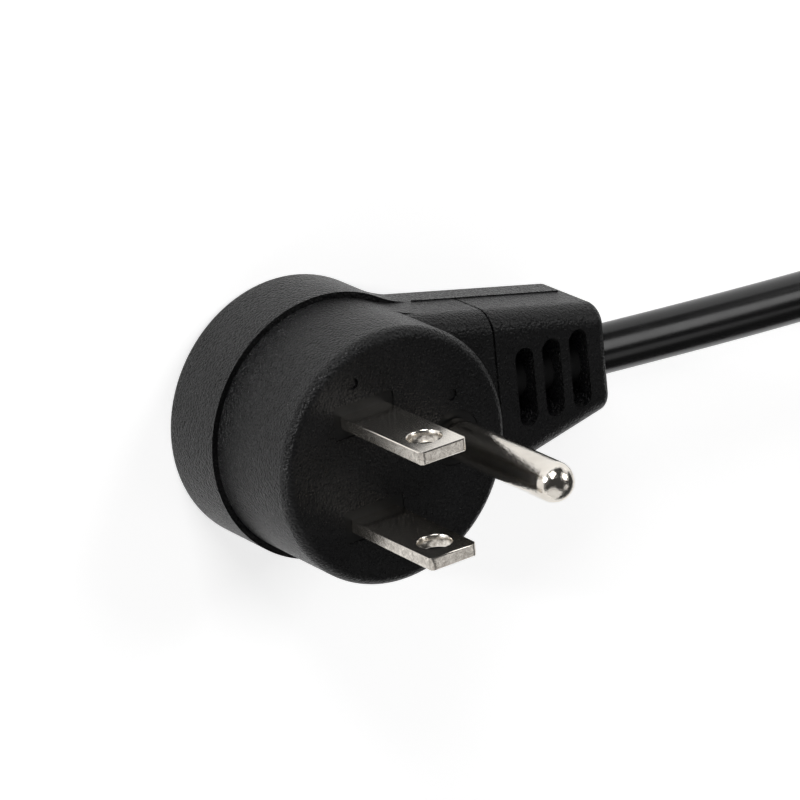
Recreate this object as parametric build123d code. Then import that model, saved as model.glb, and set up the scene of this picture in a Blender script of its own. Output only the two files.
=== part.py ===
from build123d import *
import os
from math import cos, radians, sin, tan

# Right angle plug on a short round lead, with an inline socket at the far end.
# The plug lies on its flat back. +Z is the way the blades point, +X is the way the
# cord leaves, and the origin is the middle of the back of the flange. Sizes in mm.

# Plug body: a flange at the back, a barrel in front of it and an arm for the cord
flange_radius = 16.05
flange_thickness = 9.55
flange_back_edge = 0.9
shoulder_width = 0.75
plug_depth = 23.65
barrel_rim_edge = 1.3

# Arm: tapers in plan from its root to its end, with rounded front corners
arm_root_x = 13.06
arm_root_step = 3.6
arm_taper = 0.228
arm_end_x = 35.06
arm_back = 4.5
arm_front = 17.15
arm_front_corner = 2.6
arm_back_corner = 1.4
arm_blend = 13.0

# Strain relief: the end block of the arm, with a fine seam across its front half where it starts
relief_start_x = 18.8
relief_end_edge = 1.3
seam_width = 0.3
seam_depth = 0.2
slot_count = 3
slot_first_x = 22.96
slot_pitch = 3.9
slot_width = 2.6
slot_length = 9.8
slot_depth = 3.6

# Line of flash where the two mould halves met, at the height of the shoulder
flash_height = 0.14
flash_width = 0.22

# Small round marks that the mould's pins left on the front face
mark_diameter = 1.4
mark_depth = 0.25
mark_places = [(8.15, 5.24), (-4.94, 10.54)]

# Blades and ground pin, to the usual pattern of a grounded 15 A plug
blade_width = 6.35
blade_thickness = 1.52
blade_spacing = 12.7
blade_length = 15.7
blade_tip_corner = 0.5
blade_tip_bevel = 0.12
blade_hole_diameter = 3.95
blade_hole_from_tip = 3.8
blade_hole_bevel = 0.1
blade_x = -3.84
ground_offset = 11.9
ground_pin_diameter = 4.75
ground_pin_length = 21.4
ground_root_diameter = 4.2
ground_root_stand = 0.12

# Tails and crimps of the blades and the pin inside the body
tail_width = 4.0
crimp_diameter = 3.4
crimp_length = 5.0
crimp_height = 12.05
ground_tail_diameter = 3.2

# Carrier that holds the blades while the body is moulded round it
carrier_bottom = 15.0
carrier_top = 20.0
carrier_x_min = -8.2
carrier_x_max = 11.6
carrier_half_width = 8.6
carrier_corner = 4.0
collar_length = 8.2
collar_width = 4.0
collar_corner = 0.4
ground_collar_diameter = 6.7
collar_sink = 0.15

# Round cord and the three wires in it
cord_diameter = 6.1
wire_diameter = 2.3
wire_ring_radius = 1.5
wire_strip = 2.0
copper_diameter = 1.3
plug_wire_angles = {"line": 330.0, "neutral": 210.0, "ground": 90.0}
socket_wire_angles = {"line": 120.0, "neutral": 240.0, "ground": 0.0}
cord_exit_z = 12.15
cord_floor_z = 3.15
socket_half_height = 11.8
socket_axis_y = -1.9
cord_route = [
    (20.0, 0.63, cord_exit_z),
    (80.0, -3.99, cord_exit_z),
    (140.0, -6.9, cord_floor_z),
    (185.0, -5.2, cord_floor_z),
    (221.0, socket_axis_y, socket_half_height),
    (246.0, socket_axis_y, socket_half_height),
]
arc_share = 0.45

# Inline socket on the far end of the cord
socket_start_x = 236.0
socket_relief_length = 14.0
socket_relief_half_width = 7.0
socket_relief_half_height = 6.5
socket_relief_corner = 2.8
socket_relief_edge = 1.2
socket_length = 46.0
socket_half_width = 13.5
socket_corner = 6.0
socket_face_edge = 1.0
socket_back_edge = 2.5
socket_slot_pitch = 3.9
socket_slot_width = 2.6
socket_slot_length = 8.6
socket_slot_depth = 3.0
entry_clearance = 0.5
neutral_entry_extra = 1.6
entry_depth = 19.0
ground_entry_diameter = 5.3
ground_entry_depth = 20.5

# Contacts inside the socket
leaf_thickness = 0.5
leaf_width = 5.6
contact_set_back = 4.0
contact_crimp_diameter = 3.0
contact_crimp_length = 4.5
sleeve_wall = 0.5

# Places worked out from the sizes above
barrel_radius = flange_radius - shoulder_width
arm_root_half_width = barrel_radius - arm_root_step
ground_x = blade_x + ground_offset
blade_tip = plug_depth + blade_length
socket_axis_z = socket_half_height
socket_face_x = socket_start_x + socket_length
socket_body_x = socket_start_x + socket_relief_length


def arm_half_width(x):
    """Half of the arm's width at a place along it."""
    return arm_root_half_width - arm_taper * (x - arm_root_x)


def box(x_min, x_max, y_min, y_max, z_min, z_max):
    """A box between two corners."""
    size = Box(x_max - x_min, y_max - y_min, z_max - z_min)
    return Pos((x_min + x_max) / 2, (y_min + y_max) / 2, (z_min + z_max) / 2) * size


def rod(start, end, diameter):
    """A round bar from one point to another."""
    line = Vector(end) - Vector(start)
    return Plane(origin=Vector(start), z_dir=line) * Cylinder(
        diameter / 2, line.length, align=(Align.CENTER, Align.CENTER, Align.MIN)
    )


def arm_plan(x_min, x_max, inset):
    """The tapered plan of the arm between two places along it."""
    near = arm_half_width(x_min) - inset
    far = arm_half_width(x_max) - inset
    corners = [(x_min, near), (x_max, far), (x_max, -far), (x_min, -near)]
    return make_face(Polyline(*corners, close=True))


def blended_plan(radius):
    """A circle with the arm's root growing out of it on two hollow curves."""
    outline = Circle(radius) + arm_plan(0.0, relief_start_x, 0.0)
    joins = outline.vertices().sort_by(Axis.X)[:2]
    return fillet(joins, arm_blend)


def edge_waste(place, outward, up, radius):
    """What is cut away to round a long straight edge."""
    corner = Pos(radius, radius) * Rectangle(2 * radius, 2 * radius) - Circle(radius)
    plane = Plane(origin=place, x_dir=outward, z_dir=outward.cross(up))
    return extrude(plane * (Pos(-radius, -radius) * corner), 2 * arm_end_x, both=True)


def rounded_arm(solid, inset):
    """The arm with its four long edges rounded."""
    front = (arm_front - inset, arm_front_corner, Vector(0, 0, 1))
    back = (arm_back + inset, arm_back_corner, Vector(0, 0, -1))
    for height, radius, up in (front, back):
        for side in (1, -1):
            place = Vector(0, side * (arm_half_width(0) - inset), height)
            outward = Vector(arm_taper, side, 0).normalized()
            solid -= edge_waste(place, outward, up, radius)
    return solid


def arm_block(x_min, x_max, inset):
    """A stretch of the arm with its long edges rounded."""
    block = extrude(arm_plan(x_min, x_max, inset), arm_front - arm_back - 2 * inset)
    return rounded_arm(Pos(0, 0, arm_back + inset) * block, inset)


def flash_line(x_min, x_max):
    """The thin ridge along the sides of the arm."""
    plan = arm_plan(x_min, x_max, -flash_height)
    return Pos(0, 0, flange_thickness - flash_width / 2) * extrude(plan, flash_width)


def slot_row(first_x, pitch, width, length, y, z_min, z_max):
    """A row of slots with round ends, across the cord."""
    row = Part()
    for number in range(slot_count):
        slot = extrude(SlotOverall(length, width, rotation=90), z_max - z_min)
        row += Pos(first_x + number * pitch, y, z_min) * slot
    return row


def make_cord():
    """The cord's tube: straight runs joined by arcs as large as the runs allow."""
    points = [Vector(*point) for point in cord_route]
    radii = []
    for before, here, after in zip(points, points[1:], points[2:]):
        turn = radians((here - before).get_angle(after - here))
        shorter = min((here - before).length, (after - here).length)
        radii.append(arc_share * shorter / tan(turn / 2))
    path = FilletPolyline(*points, radius=radii)
    print("cord radii", [round(radius, 1) for radius in radii])
    section = Plane(origin=points[0], z_dir=points[1] - points[0]) * Circle(cord_diameter / 2)
    tube = sweep(section, path=path)
    print("cord length", round(path.length, 2), "tube volume", round(tube.volume, 1))
    return tube


def make_body():
    """Flange, barrel and the root of the arm, before anything is taken out."""
    flange = Cylinder(flange_radius, flange_thickness, align=(Align.CENTER, Align.CENTER, Align.MIN))
    flange = fillet(flange.edges().sort_by(Axis.Z)[0], flange_back_edge)
    barrel = Pos(0, 0, flange_thickness) * Cylinder(
        barrel_radius, plug_depth - flange_thickness, align=(Align.CENTER, Align.CENTER, Align.MIN)
    )
    barrel = fillet(barrel.edges().sort_by(Axis.Z)[-1], barrel_rim_edge)
    back_half = Pos(0, 0, arm_back) * extrude(blended_plan(flange_radius), flange_thickness - arm_back)
    front_half = Pos(0, 0, flange_thickness) * extrude(
        blended_plan(barrel_radius), arm_front - flange_thickness
    )
    root = rounded_arm(back_half, 0.0) + rounded_arm(front_half, 0.0)
    return flange + barrel + root + flash_line(arm_root_x, relief_start_x)


def make_relief():
    """The slotted block at the end of the arm."""
    seam_end_x = relief_start_x + seam_width
    block = arm_block(relief_start_x, arm_end_x, 0.0)
    block = fillet(block.faces().sort_by(Axis.X)[-1].edges(), relief_end_edge)
    seam = extrude(arm_plan(relief_start_x, seam_end_x, -seam_depth), arm_front - flange_thickness)
    block -= Pos(0, 0, flange_thickness) * seam - arm_block(relief_start_x, seam_end_x, seam_depth)
    block += flash_line(relief_start_x, arm_end_x - relief_end_edge)
    front = slot_row(slot_first_x, slot_pitch, slot_width, slot_length, 0.0,
                     arm_front - slot_depth, arm_front + slot_depth)
    back = slot_row(slot_first_x, slot_pitch, slot_width, slot_length, 0.0,
                    arm_back - slot_depth, arm_back + slot_depth)
    return block - front - back


def make_blade(side):
    """A flat blade with its hole, its tail and the crimp for its wire."""
    y = side * blade_spacing / 2
    plan = Plane.XZ * (Pos(blade_x, (carrier_bottom + blade_tip) / 2) * Rectangle(
        blade_width, blade_tip - carrier_bottom))
    tip = plan.vertices().sort_by(Axis.Z)[-2:]
    plan = chamfer(tip, blade_tip_corner)
    blade = Pos(0, y + blade_thickness / 2, 0) * extrude(plan, blade_thickness)
    blade = chamfer(blade.faces().sort_by(Axis.Z)[-1].edges(), blade_tip_bevel)
    hole = Pos(blade_x, y, blade_tip - blade_hole_from_tip) * Rot(90, 0, 0) * Cylinder(
        blade_hole_diameter / 2, blade_spacing)
    blade -= hole
    rims = blade.edges().filter_by(GeomType.CIRCLE)
    blade = chamfer(rims, blade_hole_bevel)
    tail = box(blade_x - tail_width / 2, blade_x + tail_width / 2, y - blade_thickness / 2,
               y + blade_thickness / 2, crimp_height, carrier_bottom)
    crimp = rod((blade_x - crimp_length / 2, y, crimp_height),
                (blade_x + crimp_length / 2, y, crimp_height), crimp_diameter)
    return blade + tail + crimp


def make_ground_pin():
    """The round ground pin with its domed tip, its tail and its crimp."""
    radius = ground_pin_diameter / 2
    shoulder = plug_depth + ground_root_stand
    dome_height = plug_depth + ground_pin_length - radius
    dome = Pos(0, 0, dome_height) * Sphere(radius)
    shank = rod((0, 0, shoulder), (0, 0, dome_height), ground_pin_diameter)
    root = rod((0, 0, carrier_bottom), (0, 0, shoulder), ground_root_diameter)
    tail = rod((0, 0, crimp_height), (0, 0, carrier_bottom), ground_tail_diameter)
    crimp = rod((-crimp_length / 2, 0, crimp_height), (crimp_length / 2, 0, crimp_height), crimp_diameter)
    return Pos(ground_x, 0, 0) * (shank + dome + root + tail + crimp)


def make_collars(top):
    """The collars round the blades and the pin, from the carrier's plate up to a height."""
    collars = Pos(ground_x, 0, carrier_top) * extrude(Circle(ground_collar_diameter / 2), top - carrier_top)
    for side in (1, -1):
        collar = extrude(RectangleRounded(collar_length, collar_width, collar_corner), top - carrier_top)
        collars += Pos(blade_x, side * blade_spacing / 2, carrier_top) * collar
    return collars


def make_carrier():
    """The plate between the blades, with a collar that shows round each of them."""
    length = carrier_x_max - carrier_x_min
    middle = (carrier_x_max + carrier_x_min) / 2
    plate = Pos(middle, 0, carrier_bottom) * extrude(
        RectangleRounded(length, 2 * carrier_half_width, carrier_corner), carrier_top - carrier_bottom)
    return plate + make_collars(plug_depth - collar_sink)


def make_marks():
    """The shallow round marks in the front face."""
    marks = Part()
    for x, y in mark_places:
        marks += Pos(x, y, plug_depth) * Cylinder(mark_diameter / 2, 2 * mark_depth)
    return marks


def wire_start(point, direction, angle):
    """Where a wire lies in the cord's end face."""
    across = Vector(0, 0, 1).cross(direction).normalized()
    offset = across * (wire_ring_radius * cos(radians(angle)))
    return point + offset + Vector(0, 0, wire_ring_radius * sin(radians(angle)))


def make_wire(start, end, crimp):
    """A wire from the cord to a crimp: its sleeve and the copper in it."""
    line = (end - start).normalized()
    sleeve = rod(start, end - line * wire_strip, wire_diameter)
    copper = rod(start, end + line * copper_diameter, copper_diameter) - crimp
    nearest = copper.solids().sort_by_distance(start)[0]
    return sleeve - nearest - cord, nearest - cord


def make_socket():
    """The inline socket: a rounded body and a slotted strain relief behind it."""
    body_length = socket_face_x - socket_body_x
    section = Plane.YZ * RectangleRounded(2 * socket_half_width, 2 * socket_half_height, socket_corner)
    body = Pos(socket_body_x, socket_axis_y, socket_axis_z) * extrude(section, body_length)
    body = fillet(body.faces().sort_by(Axis.X)[-1].edges(), socket_face_edge)
    body = fillet(body.faces().sort_by(Axis.X)[0].edges(), socket_back_edge)
    relief_section = Plane.YZ * RectangleRounded(
        2 * socket_relief_half_width, 2 * socket_relief_half_height, socket_relief_corner)
    relief = Pos(socket_start_x, socket_axis_y, socket_axis_z) * extrude(
        relief_section, socket_relief_length + socket_back_edge)
    relief = fillet(relief.faces().sort_by(Axis.X)[0].edges(), socket_relief_edge)
    first = socket_start_x + (socket_relief_length - (slot_count - 1) * socket_slot_pitch) / 2
    top = socket_axis_z + socket_relief_half_height
    bottom = socket_axis_z - socket_relief_half_height
    slots = slot_row(first, socket_slot_pitch, socket_slot_width, socket_slot_length, socket_axis_y,
                     top - socket_slot_depth, top + socket_slot_depth)
    slots += slot_row(first, socket_slot_pitch, socket_slot_width, socket_slot_length, socket_axis_y,
                      bottom - socket_slot_depth, bottom + socket_slot_depth)
    return body + (relief - slots)


def make_entries():
    """The three ways in at the socket's face."""
    entries = Part()
    for side in (1, -1):
        extra = neutral_entry_extra if side < 0 else 0.0
        z = socket_axis_z + side * blade_spacing / 2
        y = socket_axis_y + blade_x
        half_length = (blade_width + entry_clearance + extra) / 2
        half_gap = (blade_thickness + entry_clearance) / 2
        entries += box(socket_face_x - entry_depth, socket_face_x + entry_depth,
                       y - half_length, y + half_length, z - half_gap, z + half_gap)
    y = socket_axis_y + ground_x
    entries += rod((socket_face_x - ground_entry_depth, y, socket_axis_z),
                   (socket_face_x + ground_entry_depth, y, socket_axis_z), ground_entry_diameter)
    return entries


def make_leaf_contact(side):
    """Two spring leaves either side of a blade's way in, with a crimp behind them."""
    y = socket_axis_y + blade_x
    z = socket_axis_z + side * blade_spacing / 2
    half_gap = (blade_thickness + entry_clearance) / 2
    half_height = half_gap + leaf_thickness
    front = socket_face_x - contact_set_back
    rear = socket_face_x - entry_depth
    crimp_front = rear - leaf_thickness
    left = y - leaf_width / 2
    right = y + leaf_width / 2
    contact = box(crimp_front, front, left, right, z - half_height, z + half_height)
    contact -= box(rear, front, left, right, z - half_gap, z + half_gap)
    contact += rod((crimp_front - contact_crimp_length, y, z), (crimp_front, y, z), contact_crimp_diameter)
    return contact


def make_ground_sleeve():
    """The sleeve that the ground pin goes into, with a crimp behind it."""
    y = socket_axis_y + ground_x
    outer = ground_entry_diameter + 2 * sleeve_wall
    front = socket_face_x - contact_set_back
    rear = socket_face_x - ground_entry_depth
    tube = rod((rear - sleeve_wall, y, socket_axis_z), (front, y, socket_axis_z), outer)
    tube -= rod((rear, y, socket_axis_z), (front, y, socket_axis_z), ground_entry_diameter)
    crimp_front = rear - sleeve_wall
    crimp = rod((crimp_front - contact_crimp_length, y, socket_axis_z),
                (crimp_front, y, socket_axis_z), contact_crimp_diameter)
    return tube + crimp


parts = {}

# Cord first, then the metal, then what is moulded round them
cord = make_cord()
parts["cord"] = cord
parts["line_blade"] = make_blade(-1)
parts["neutral_blade"] = make_blade(1)
parts["ground_pin"] = make_ground_pin()

# Wires inside the plug, from the cord's end to the crimps
route_start = Vector(*cord_route[0])
into_plug = (Vector(*cord_route[0]) - Vector(*cord_route[1])).normalized()
crimp_reach = crimp_length / 2
plug_ends = {
    "line": Vector(blade_x + crimp_reach, -blade_spacing / 2, crimp_height),
    "neutral": Vector(blade_x + crimp_reach, blade_spacing / 2, crimp_height),
    "ground": Vector(ground_x + crimp_reach, 0.0, crimp_height),
}
crimped = {"line": "line_blade", "neutral": "neutral_blade", "ground": "ground_pin"}
for name, end in plug_ends.items():
    start = wire_start(route_start, into_plug, plug_wire_angles[name])
    sleeve, copper = make_wire(start, end, parts[crimped[name]])
    parts[name + "_wire"] = sleeve
    parts[name + "_copper"] = copper

# Carrier with the metal in it, and the body and the strain relief moulded round them all
carrier = make_carrier()
body = make_body() - make_marks() - make_collars(plug_depth)
relief = make_relief()
plug_metal = ["line_blade", "neutral_blade", "ground_pin"]
plug_wiring = [name + kind for name in plug_ends for kind in ("_wire", "_copper")]
for name in plug_metal:
    carrier -= parts[name]
parts["blade_carrier"] = carrier
for name in plug_metal + plug_wiring + ["blade_carrier", "cord"]:
    body -= parts[name]
    relief -= parts[name]
parts["plug_body"] = body
parts["strain_relief"] = relief

# Socket: contacts, wires and the body round them
parts["line_contact"] = make_leaf_contact(1)
parts["neutral_contact"] = make_leaf_contact(-1)
parts["ground_contact"] = make_ground_sleeve()
route_end = Vector(*cord_route[-1])
into_socket = (Vector(*cord_route[-1]) - Vector(*cord_route[-2])).normalized()
contact_back = socket_face_x - entry_depth - leaf_thickness - contact_crimp_length
sleeve_back = socket_face_x - ground_entry_depth - sleeve_wall - contact_crimp_length
socket_ends = {
    "line": Vector(contact_back, socket_axis_y + blade_x, socket_axis_z + blade_spacing / 2),
    "neutral": Vector(contact_back, socket_axis_y + blade_x, socket_axis_z - blade_spacing / 2),
    "ground": Vector(sleeve_back, socket_axis_y + ground_x, socket_axis_z),
}
socket = make_socket() - make_entries()
for name, end in socket_ends.items():
    start = wire_start(route_end, into_socket, socket_wire_angles[name])
    sleeve, copper = make_wire(start, end, parts[name + "_contact"])
    parts["socket_" + name + "_wire"] = sleeve
    parts["socket_" + name + "_copper"] = copper
for name in ["line_contact", "neutral_contact", "ground_contact", "cord"]:
    socket -= parts[name]
for name in socket_ends:
    socket -= parts["socket_" + name + "_wire"]
    socket -= parts["socket_" + name + "_copper"]
parts["socket_body"] = socket

os.makedirs("parts", exist_ok=True)
for name, solid in parts.items():
    export_step(solid, "parts/" + name + ".step")
    print(name, len(solid.solids()), round(solid.volume, 1), solid.bounding_box())
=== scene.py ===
"""Right angle plug on a short round lead, lying on its flat back, as it is seen in the photograph.

Everything is in metres, in the frame of the CAD model: +Z is the way the blades
point, +X is the way the cord leaves the plug, and the floor is at z = 0.
"""
from math import radians

import bmesh
import bpy
import numpy as np
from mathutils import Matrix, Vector


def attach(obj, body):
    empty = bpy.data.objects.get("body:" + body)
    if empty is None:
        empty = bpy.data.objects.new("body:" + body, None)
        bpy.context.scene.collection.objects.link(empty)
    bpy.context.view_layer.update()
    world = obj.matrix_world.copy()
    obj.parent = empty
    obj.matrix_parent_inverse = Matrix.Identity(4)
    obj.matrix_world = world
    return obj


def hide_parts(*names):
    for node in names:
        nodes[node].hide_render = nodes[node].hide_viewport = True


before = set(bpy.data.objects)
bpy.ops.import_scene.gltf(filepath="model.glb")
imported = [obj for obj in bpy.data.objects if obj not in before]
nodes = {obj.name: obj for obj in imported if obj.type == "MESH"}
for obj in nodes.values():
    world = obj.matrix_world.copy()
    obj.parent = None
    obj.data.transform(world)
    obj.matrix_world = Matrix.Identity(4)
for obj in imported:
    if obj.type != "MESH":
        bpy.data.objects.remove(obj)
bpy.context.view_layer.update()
scene = bpy.context.scene
scene.view_settings.view_transform = "Standard"


# Camera: a long lens from the blades' side, a little above the plug and left of it.
# It stands where the rings of the plug and the pattern of the blades match the photograph.
camera_data = bpy.data.cameras.new("camera")
camera_data.lens = 218.55
camera_data.sensor_width = 36.0
camera_data.clip_end = 40.0
camera = bpy.data.objects.new("camera", camera_data)
camera.location = (-0.27443, 0.2076, 0.45529)
camera.rotation_euler = (radians(-17.764), radians(-34.511), radians(-6.603))
scene.collection.objects.link(camera)
scene.camera = camera


# Cord: round lead with a smooth black jacket, extruded over three twisted wires.
# It leaves the strain relief straight, comes down to the floor and goes up into the socket.
# Inside the strain relief, where the slots show it, the hot moulding has dulled the jacket.
cord_radius = 0.00305
relief_end = (0.0345, 0.035)
dull_jacket = 0.75
cord_route = np.array([
    (20.0, 0.63, 12.15),
    (80.0, -4.2, 13.3),
    (140.0, -6.9, 3.15),
    (185.0, -5.2, 3.15),
    (221.0, -1.9, 11.8),
    (246.0, -1.9, 11.8),
]) / 1000


def new_material(name, colour, roughness):
    """A material with one Principled shader, its plain colour and its plain roughness."""
    material = bpy.data.materials.new(name)
    material.use_nodes = True
    shader = material.node_tree.nodes["Principled BSDF"]
    shader.inputs["Base Color"].default_value = (*colour, 1.0)
    shader.inputs["Roughness"].default_value = roughness
    return material, shader


def new_group(name, inputs, outputs):
    """An empty node group with named value sockets, and a Vector input for the place."""
    group = bpy.data.node_groups.new(name, "ShaderNodeTree")
    group.interface.new_socket("Place", in_out="INPUT", socket_type="NodeSocketVector")
    for label, value in inputs.items():
        socket = group.interface.new_socket(label, in_out="INPUT", socket_type="NodeSocketFloat")
        socket.default_value = value
    for label in outputs:
        group.interface.new_socket(label, in_out="OUTPUT", socket_type="NodeSocketFloat")
    entry = group.nodes.new("NodeGroupInput")
    leave = group.nodes.new("NodeGroupOutput")
    return group, entry, leave


def add_node(tree, kind, settings=None, **values):
    """A node with its settings, and with each input either joined to a socket or given a value."""
    node = tree.nodes.new(kind)
    for label, value in (settings or {}).items():
        setattr(node, label, value)
    for label, value in values.items():
        socket = node.inputs[int(label[1:])] if label[1:].isdigit() else node.inputs[label.replace("_", " ")]
        if isinstance(value, bpy.types.NodeSocket):
            tree.links.new(value, socket)
        else:
            socket.default_value = value
    return node


def place_group(material, group, **values):
    """A node group in a material, read at the object's own coordinates."""
    tree = material.node_tree
    place = tree.nodes.get("Texture Coordinate") or tree.nodes.new("ShaderNodeTexCoord")
    node = tree.nodes.new("ShaderNodeGroup")
    node.node_tree = group
    tree.links.new(place.outputs["Object"], node.inputs["Place"])
    for label, value in values.items():
        node.inputs[label.replace("_", " ")].default_value = value
    return node


def spread(material, shader, mask, label, low, high):
    """A shader's value that goes from low to high as a mask goes from 0 to 1."""
    tree = material.node_tree
    steps = add_node(tree, "ShaderNodeMapRange", Value=mask, To_Min=low, To_Max=high)
    tree.links.new(steps.outputs["Result"], shader.inputs[label])


def tint(material, shader, mask, low, high):
    """A base colour that goes from low to high as a mask goes from 0 to 1."""
    tree = material.node_tree
    mix = add_node(tree, "ShaderNodeMix", {"data_type": "RGBA"})
    tree.links.new(mask, mix.inputs[0])
    mix.inputs[6].default_value = (*low, 1.0)
    mix.inputs[7].default_value = (*high, 1.0)
    tree.links.new(mix.outputs[2], shader.inputs["Base Color"])


def relief(material, shader, height, distance):
    """A height that the surface stands up by, in metres, put on the shader's normal."""
    tree = material.node_tree
    bump = add_node(tree, "ShaderNodeBump", Height=height, Distance=distance, Strength=1.0)
    tree.links.new(bump.outputs["Normal"], shader.inputs["Normal"])


# handling: broad faint smudges that fingers leave, cloudy patches of soft noise
handling, entry, leave = new_group("handling", {"Patch Size": 0.008}, ["Smudge"])
patch = add_node(handling, "ShaderNodeMath", {"operation": "DIVIDE"}, _0=1.0, _1=entry.outputs["Patch Size"])
cloud = add_node(handling, "ShaderNodeTexNoise", Vector=entry.outputs["Place"], Scale=patch.outputs[0],
                 Detail=4.0, Roughness=0.6)
smudge = add_node(handling, "ShaderNodeMapRange", Value=cloud.outputs["Fac"], From_Min=0.32, From_Max=0.7)
handling.links.new(smudge.outputs["Result"], leave.inputs["Smudge"])

curve = bpy.data.curves.new("cord_lead", "CURVE")
curve.dimensions = "3D"
spline = curve.splines.new("NURBS")
spline.points.add(len(cord_route) - 1)
spline.points.foreach_set("co", np.column_stack([cord_route, np.ones(len(cord_route))]).ravel())
spline.order_u = 3
spline.use_endpoint_u = True
spline.resolution_u = 24
curve.bevel_depth = cord_radius
curve.bevel_resolution = 10
curve.use_fill_caps = True
cord = bpy.data.objects.new("cord_lead", curve)
scene.collection.objects.link(cord)
jacket, shader = new_material("cord jacket", (0.005, 0.005, 0.0052), 0.25)
smears = place_group(jacket, handling, Patch_Size=0.006)
tree = jacket.node_tree
place = add_node(tree, "ShaderNodeSeparateXYZ", Vector=tree.nodes["Texture Coordinate"].outputs["Object"])
gloss = add_node(tree, "ShaderNodeMapRange", Value=smears.outputs["Smudge"], To_Min=0.2, To_Max=0.28)
dulled = add_node(tree, "ShaderNodeMapRange", Value=place.outputs["X"], From_Min=relief_end[0],
                  From_Max=relief_end[1], To_Min=dull_jacket, To_Max=gloss.outputs["Result"])
tree.links.new(dulled.outputs["Result"], shader.inputs["Roughness"])
shader.inputs["Specular IOR Level"].default_value = 0.36
curve.materials.append(jacket)
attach(cord, "root")
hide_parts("cord")
on_cord = ["socket_body", "line_contact", "neutral_contact", "ground_contact"]
on_cord += [f"socket_{pole}_{kind}" for pole in ("line", "neutral", "ground") for kind in ("wire", "copper")]


# Plug body, strain relief and socket body: black plastic, moulded round the metal and the cord.
# The mould's spark-eroded walls leave a fine pebbled skin, which hands smudge a little.
skin_black = (0.002, 0.002, 0.0022)
skin_worn = (0.005, 0.005, 0.0053)
skin_grain = 0.00032
skin_depth = 0.0003
face_depth = 0.26

# pebbled skin: rounded grains with fine noise between them, as spark erosion leaves on a mould,
# deep on the walls and shallow on the faces that look along Z, which the mould's plates form
pebbled, entry, leave = new_group("pebbled skin", {"Grain Size": 0.0003}, ["Height", "Speck"])
pebbled.interface.new_socket("Facing", in_out="INPUT", socket_type="NodeSocketVector")
scale = add_node(pebbled, "ShaderNodeMath", {"operation": "DIVIDE"}, _0=1.0, _1=entry.outputs["Grain Size"])
grains = add_node(pebbled, "ShaderNodeTexVoronoi", Vector=entry.outputs["Place"], Scale=scale.outputs[0])
fine = add_node(pebbled, "ShaderNodeTexNoise", Vector=entry.outputs["Place"], Scale=scale.outputs[0],
                Detail=3.0, Roughness=0.65)
height = add_node(pebbled, "ShaderNodeMath", {"operation": "SUBTRACT"}, _0=fine.outputs["Fac"],
                  _1=grains.outputs["Distance"])
speck = add_node(pebbled, "ShaderNodeMapRange", Value=fine.outputs["Fac"], From_Min=0.35, From_Max=0.75)
facing = add_node(pebbled, "ShaderNodeSeparateXYZ", Vector=entry.outputs["Facing"])
flatness = add_node(pebbled, "ShaderNodeMath", {"operation": "ABSOLUTE"}, _0=facing.outputs["Z"])
depth = add_node(pebbled, "ShaderNodeMapRange", Value=flatness.outputs[0], From_Min=0.3, From_Max=0.9,
                 To_Min=1.0, To_Max=face_depth)
height = add_node(pebbled, "ShaderNodeMath", {"operation": "MULTIPLY"}, _0=height.outputs[0],
                  _1=depth.outputs["Result"])
pebbled.links.new(height.outputs[0], leave.inputs["Height"])
pebbled.links.new(speck.outputs["Result"], leave.inputs["Speck"])

for name in ("plug_body", "strain_relief", "socket_body"):
    skin, shader = new_material(name.replace("_", " ") + " skin", skin_black, 0.5)
    shader.inputs["Specular IOR Level"].default_value = 0.23
    grain = place_group(skin, pebbled, Grain_Size=skin_grain)
    tree = skin.node_tree
    tree.links.new(tree.nodes["Texture Coordinate"].outputs["Normal"], grain.inputs["Facing"])
    smears = place_group(skin, handling, Patch_Size=0.01)
    tint(skin, shader, smears.outputs["Smudge"], skin_black, skin_worn)
    spread(skin, shader, grain.outputs["Speck"], "Roughness", 0.4, 0.2)
    relief(skin, shader, grain.outputs["Height"], skin_depth)
    nodes[name].data.materials.clear()
    nodes[name].data.materials.append(skin)


# Blade carrier: a plain moulding that holds the blades and the pin while the body is moulded
# round it. Only its collars show, set a little below the face, smoother than the skin.
collar_plastic, shader = new_material("carrier plastic", (0.004, 0.004, 0.004), 0.5)
shader.inputs["Specular IOR Level"].default_value = 0.2
smears = place_group(collar_plastic, handling, Patch_Size=0.004)
spread(collar_plastic, shader, smears.outputs["Smudge"], "Roughness", 0.4, 0.55)
nodes["blade_carrier"].data.materials.clear()
nodes["blade_carrier"].data.materials.append(collar_plastic)


# Blades and ground pin: brass strip and rod, plated with nickel to a warm silver.
# The blades keep the fine lines of rolling on their flat sides, and the press that cuts them
# out rolls their long edges over and leaves the cut faces rough. The pin is turned.
nickel = (0.76, 0.72, 0.66)
nickel_dull = (0.62, 0.58, 0.52)
nickel_torn = (0.36, 0.33, 0.29)
edge_roll = 0.00014
long_edge = 0.008
cut_roughness = 0.27
line_depth = 0.000005
mottle_depth = 0.00003

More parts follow.
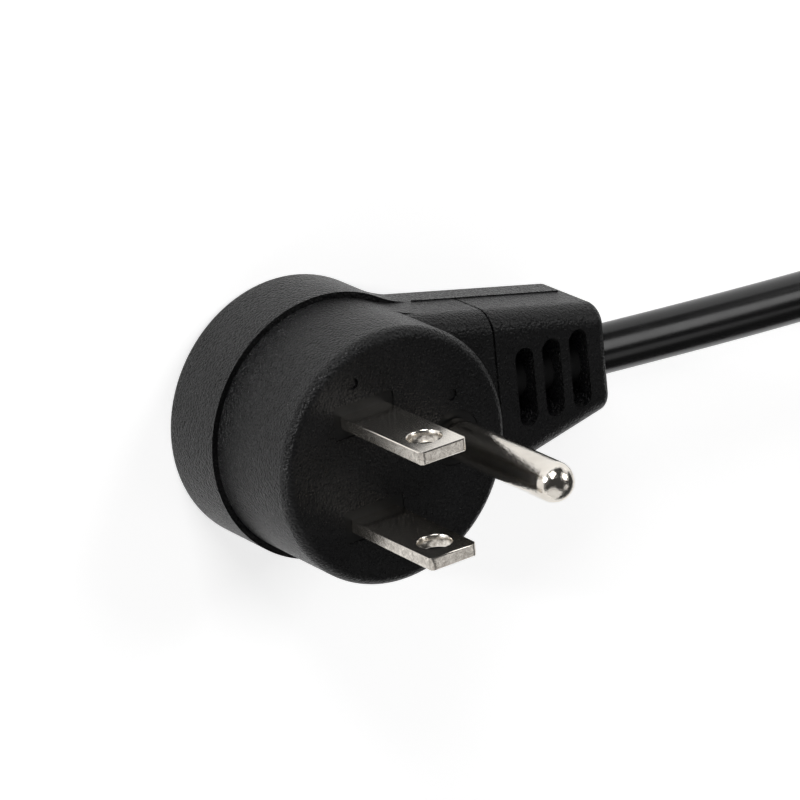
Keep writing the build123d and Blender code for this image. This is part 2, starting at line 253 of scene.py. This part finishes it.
# drawn lines: noise drawn out along one direction, so that it makes fine streaks
drawn, entry, leave = new_group("drawn lines", {"Line Width": 0.0001, "Line Length": 0.004}, ["Streak"])
parts = add_node(drawn, "ShaderNodeSeparateXYZ", Vector=entry.outputs["Place"])
across_x = add_node(drawn, "ShaderNodeMath", {"operation": "DIVIDE"}, _0=parts.outputs["X"],
                    _1=entry.outputs["Line Width"])
across_y = add_node(drawn, "ShaderNodeMath", {"operation": "DIVIDE"}, _0=parts.outputs["Y"],
                    _1=entry.outputs["Line Width"])
along_z = add_node(drawn, "ShaderNodeMath", {"operation": "DIVIDE"}, _0=parts.outputs["Z"],
                   _1=entry.outputs["Line Length"])
stretched = add_node(drawn, "ShaderNodeCombineXYZ", X=across_x.outputs[0], Y=across_y.outputs[0],
                     Z=along_z.outputs[0])
streaks = add_node(drawn, "ShaderNodeTexNoise", Vector=stretched.outputs[0], Scale=1.0, Detail=3.0)
drawn.links.new(streaks.outputs["Fac"], leave.inputs["Streak"])

# sheared edge: torn patches that a punch leaves, only on faces that look away from the strip's flat sides
sheared, entry, leave = new_group("sheared edge", {"Tear Size": 0.0006}, ["Tear", "Cut"])
sheared.interface.new_socket("Facing", in_out="INPUT", socket_type="NodeSocketVector")
facing = add_node(sheared, "ShaderNodeSeparateXYZ", Vector=entry.outputs["Facing"])
flatness = add_node(sheared, "ShaderNodeMath", {"operation": "ABSOLUTE"}, _0=facing.outputs["Y"])
cut_face = add_node(sheared, "ShaderNodeMapRange", Value=flatness.outputs[0], From_Min=0.6, From_Max=0.3)
tear_scale = add_node(sheared, "ShaderNodeMath", {"operation": "DIVIDE"}, _0=1.0, _1=entry.outputs["Tear Size"])
torn = add_node(sheared, "ShaderNodeTexNoise", Vector=entry.outputs["Place"], Scale=tear_scale.outputs[0],
                Detail=4.0, Roughness=0.7, Distortion=0.8)
patches = add_node(sheared, "ShaderNodeMapRange", Value=torn.outputs["Fac"], From_Min=0.34, From_Max=0.68)
tear = add_node(sheared, "ShaderNodeMath", {"operation": "MULTIPLY"}, _0=patches.outputs["Result"],
                _1=cut_face.outputs["Result"])
sheared.links.new(tear.outputs[0], leave.inputs["Tear"])
sheared.links.new(cut_face.outputs["Result"], leave.inputs["Cut"])

# each blade is a copy of the CAD blade with its triangles joined into flat faces, whose four long edges are rounded
for name in ("line_blade", "neutral_blade"):
    strip = nodes[name].data.copy()
    shape = bmesh.new()
    shape.from_mesh(strip)
    bmesh.ops.remove_doubles(shape, verts=shape.verts, dist=1e-6)
    bmesh.ops.dissolve_limit(shape, angle_limit=radians(2), verts=shape.verts, edges=shape.edges)
    rolling = shape.edges.layers.float.new("bevel_weight_edge")
    for side in shape.edges:
        if side.calc_length() > long_edge and side.calc_face_angle(0) > radians(60):
            side[rolling] = 1
    shape.to_mesh(strip)
    shape.free()
    blade = bpy.data.objects.new(name + "_rolled", strip)
    scene.collection.objects.link(blade)
    rolled = blade.modifiers.new("rolled edges", "BEVEL")
    rolled.width = edge_roll
    rolled.segments = 3
    rolled.limit_method = "WEIGHT"
    rolled.use_clamp_overlap = False
    rolled.harden_normals = True
    plating, shader = new_material(name.replace("_", " ") + " plating", nickel, 0.2)
    shader.inputs["Metallic"].default_value = 1.0
    lines = place_group(plating, drawn, Line_Width=0.00012, Line_Length=0.005)
    edge = place_group(plating, sheared)
    tree = plating.node_tree
    tree.links.new(tree.nodes["Texture Coordinate"].outputs["Normal"], edge.inputs["Facing"])
    tint(plating, shader, edge.outputs["Tear"], nickel, nickel_torn)
    sheen = add_node(tree, "ShaderNodeMapRange", Value=lines.outputs["Streak"], To_Min=0.1, To_Max=0.22)
    dull = add_node(tree, "ShaderNodeMapRange", Value=edge.outputs["Cut"], To_Min=sheen.outputs["Result"],
                    To_Max=cut_roughness)
    tree.links.new(dull.outputs["Result"], shader.inputs["Roughness"])
    dents = add_node(tree, "ShaderNodeMath", {"operation": "SUBTRACT"}, _0=lines.outputs["Streak"],
                     _1=edge.outputs["Tear"])
    relief(plating, shader, dents.outputs[0], line_depth)
    strip.materials.clear()
    strip.materials.append(plating)
    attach(blade, "root")
    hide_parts(name)

plating, shader = new_material("ground pin plating", nickel, 0.2)
shader.inputs["Metallic"].default_value = 1.0
mottle = place_group(plating, drawn, Line_Width=0.0002, Line_Length=0.0007)
smears = place_group(plating, handling, Patch_Size=0.003)
tint(plating, shader, smears.outputs["Smudge"], nickel, nickel_dull)
spread(plating, shader, mottle.outputs["Streak"], "Roughness", 0.06, 0.2)
relief(plating, shader, mottle.outputs["Streak"], mottle_depth)
nodes["ground_pin"].data.materials.clear()
nodes["ground_pin"].data.materials.append(plating)


# Wires inside the plug and the socket: coloured sleeves on bare copper, closed in by the mouldings.
# Spring contacts in the socket: brass strip, seen only down the slots.
sleeves = {"line": (0.01, 0.01, 0.01), "neutral": (0.75, 0.75, 0.72), "ground": (0.03, 0.25, 0.07)}
copper, shader = new_material("copper", (0.72, 0.33, 0.18), 0.3)
shader.inputs["Metallic"].default_value = 1.0
lines = place_group(copper, drawn, Line_Width=0.0001, Line_Length=0.004)
spread(copper, shader, lines.outputs["Streak"], "Roughness", 0.25, 0.45)
brass, shader = new_material("contact brass", (0.66, 0.47, 0.2), 0.3)
shader.inputs["Metallic"].default_value = 1.0
lines = place_group(brass, drawn, Line_Width=0.0001, Line_Length=0.004)
spread(brass, shader, lines.outputs["Streak"], "Roughness", 0.2, 0.42)
for pole, colour in sleeves.items():
    sleeve, shader = new_material(pole + " sleeve", colour, 0.4)
    smears = place_group(sleeve, handling, Patch_Size=0.003)
    spread(sleeve, shader, smears.outputs["Smudge"], "Roughness", 0.32, 0.5)
    for name, material in ((f"{pole}_wire", sleeve), (f"socket_{pole}_wire", sleeve), (f"{pole}_copper", copper),
                           (f"socket_{pole}_copper", copper), (f"{pole}_contact", brass)):
        nodes[name].data.materials.clear()
        nodes[name].data.materials.append(material)


# Floor: a plain white sheet under the plug, which shows white and keeps a soft shadow.
floor_reach = 5.0
floor_glow = 0.6
floor_mesh = bpy.data.meshes.new("floor")
corners = np.array([(-1, -1, 0), (1, -1, 0), (1, 1, 0), (-1, 1, 0)]) * floor_reach
floor_mesh.from_pydata(corners.tolist(), [], [(0, 1, 2, 3)])
floor = bpy.data.objects.new("floor", floor_mesh)
scene.collection.objects.link(floor)
white, shader = new_material("white floor", (0.8, 0.8, 0.8), 0.9)
tree = white.node_tree
rays = tree.nodes.new("ShaderNodeLightPath")
seen = add_node(tree, "ShaderNodeMath", {"operation": "MAXIMUM"}, _0=rays.outputs["Is Camera Ray"],
                _1=rays.outputs["Is Glossy Ray"])
seen = add_node(tree, "ShaderNodeMath", {"operation": "MAXIMUM"}, _0=seen.outputs[0],
                _1=rays.outputs["Is Transmission Ray"])
lift = add_node(tree, "ShaderNodeMath", {"operation": "MULTIPLY"}, _0=seen.outputs[0], _1=floor_glow)
shader.inputs["Emission Color"].default_value = (1, 1, 1, 1)
tree.links.new(lift.outputs[0], shader.inputs["Emission Strength"])
floor_mesh.materials.append(white)


# Light: soft boxes round the plug and a dim room. The side that the front face mirrors holds only
# a small box for the tips of the blades, so the face stays dark and the walls mirror the floor.
room_grey = (0.05, 0.05, 0.05)
world = bpy.data.worlds.new("room")
world.use_nodes = True
world.node_tree.nodes["Background"].inputs["Color"].default_value = (*room_grey, 1)
scene.world = world


def soft_box(name, place, target, size, power):
    """A square lamp that looks from one point at another."""
    lamp = bpy.data.lights.new(name, "AREA")
    lamp.size = size
    lamp.energy = power
    box = bpy.data.objects.new(name, lamp)
    box.location = place
    box.rotation_euler = (Vector(place) - Vector(target)).to_track_quat("Z", "Y").to_euler()
    scene.collection.objects.link(box)


soft_box("left box", (-1.2, 0.6, 0.08), (0, 0, 0.01), 0.1, 17.0)
soft_box("key box", (-0.35, 1.0, 0.45), (0, 0, 0.01), 0.5, 6.0)
soft_box("low box", (-0.4, -0.7, 0.45), (0, 0, 0.03), 1.2, 4.0)
soft_box("tip box", (0.61, -0.43, 0.94), (0, 0, 0.035), 0.4, 0.5)
soft_box("strip box", (0.57, 0.4, 0.65), (0.05, 0, 0.01), 0.46, 2.5)
soft_box("right box", (0.9, 0.55, 0.2), (0, 0, 0.03), 0.4, 0.6)
